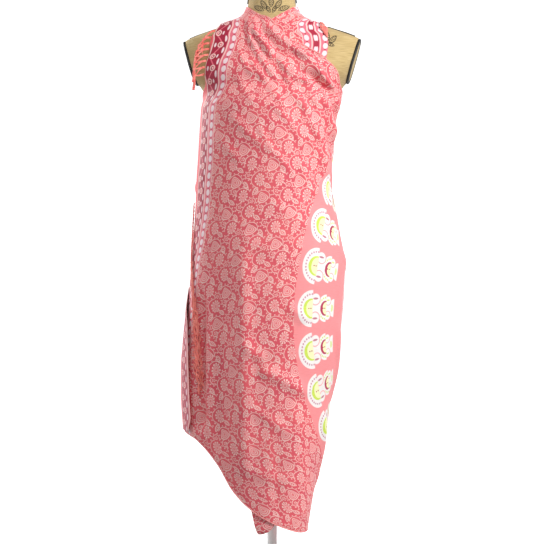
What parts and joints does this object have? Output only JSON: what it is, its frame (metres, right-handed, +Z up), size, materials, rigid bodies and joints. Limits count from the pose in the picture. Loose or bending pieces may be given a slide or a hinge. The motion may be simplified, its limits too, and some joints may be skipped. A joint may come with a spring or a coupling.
{
  "type": "sarong on a dress form",
  "caption": "Printed sarong wound as a halter wrap and tied behind the neck, worn on a limbless dress form with a pole and a round base.",
  "frame": {"origin": "centre of the round base's underside, on the floor", "axes": "+Z up along the pole, the front of the garment faces -Y, +X is the viewer's right"},
  "size_m": [0.3963, 0.33, 1.5373],
  "materials": {
    "printed_cloth": "matt printed cotton with a soft sheen",
    "border_reverse": "matt reverse of the printed border",
    "fringe_yarn": "soft knotted yarn",
    "form_linen": "tight linen cover",
    "black_piping": "black corded piping",
    "turned_wood": "satin varnish",
    "white_steel": "satin white powder coat"
  },
  "bodies": {
    "root": {"front_wrap": "printed_cloth", "back_wrap": "printed_cloth", "inner_wrap": "printed_cloth", "neck_knot": "printed_cloth", "tie_band_left": "printed_cloth", "tie_band_right": "printed_cloth", "tie_end_left": "printed_cloth", "tie_end_right": "printed_cloth", "turned_edge": "border_reverse", "fringe_shoulder": "fringe_yarn", "fringe_side": "fringe_yarn", "fringe_strap": "fringe_yarn", "form_torso": "form_linen", "arm_plate_left": "form_linen", "arm_plate_right": "form_linen", "piping_arm_left": "black_piping", "piping_arm_right": "black_piping", "piping_neck_left": "black_piping", "piping_neck_right": "black_piping", "piping_shoulder_left": "black_piping", "piping_shoulder_right": "black_piping", "neck_cap": "turned_wood", "pole_collar": "turned_wood", "form_pole": "white_steel", "form_base": "white_steel"}
  },
  "joints": []
}
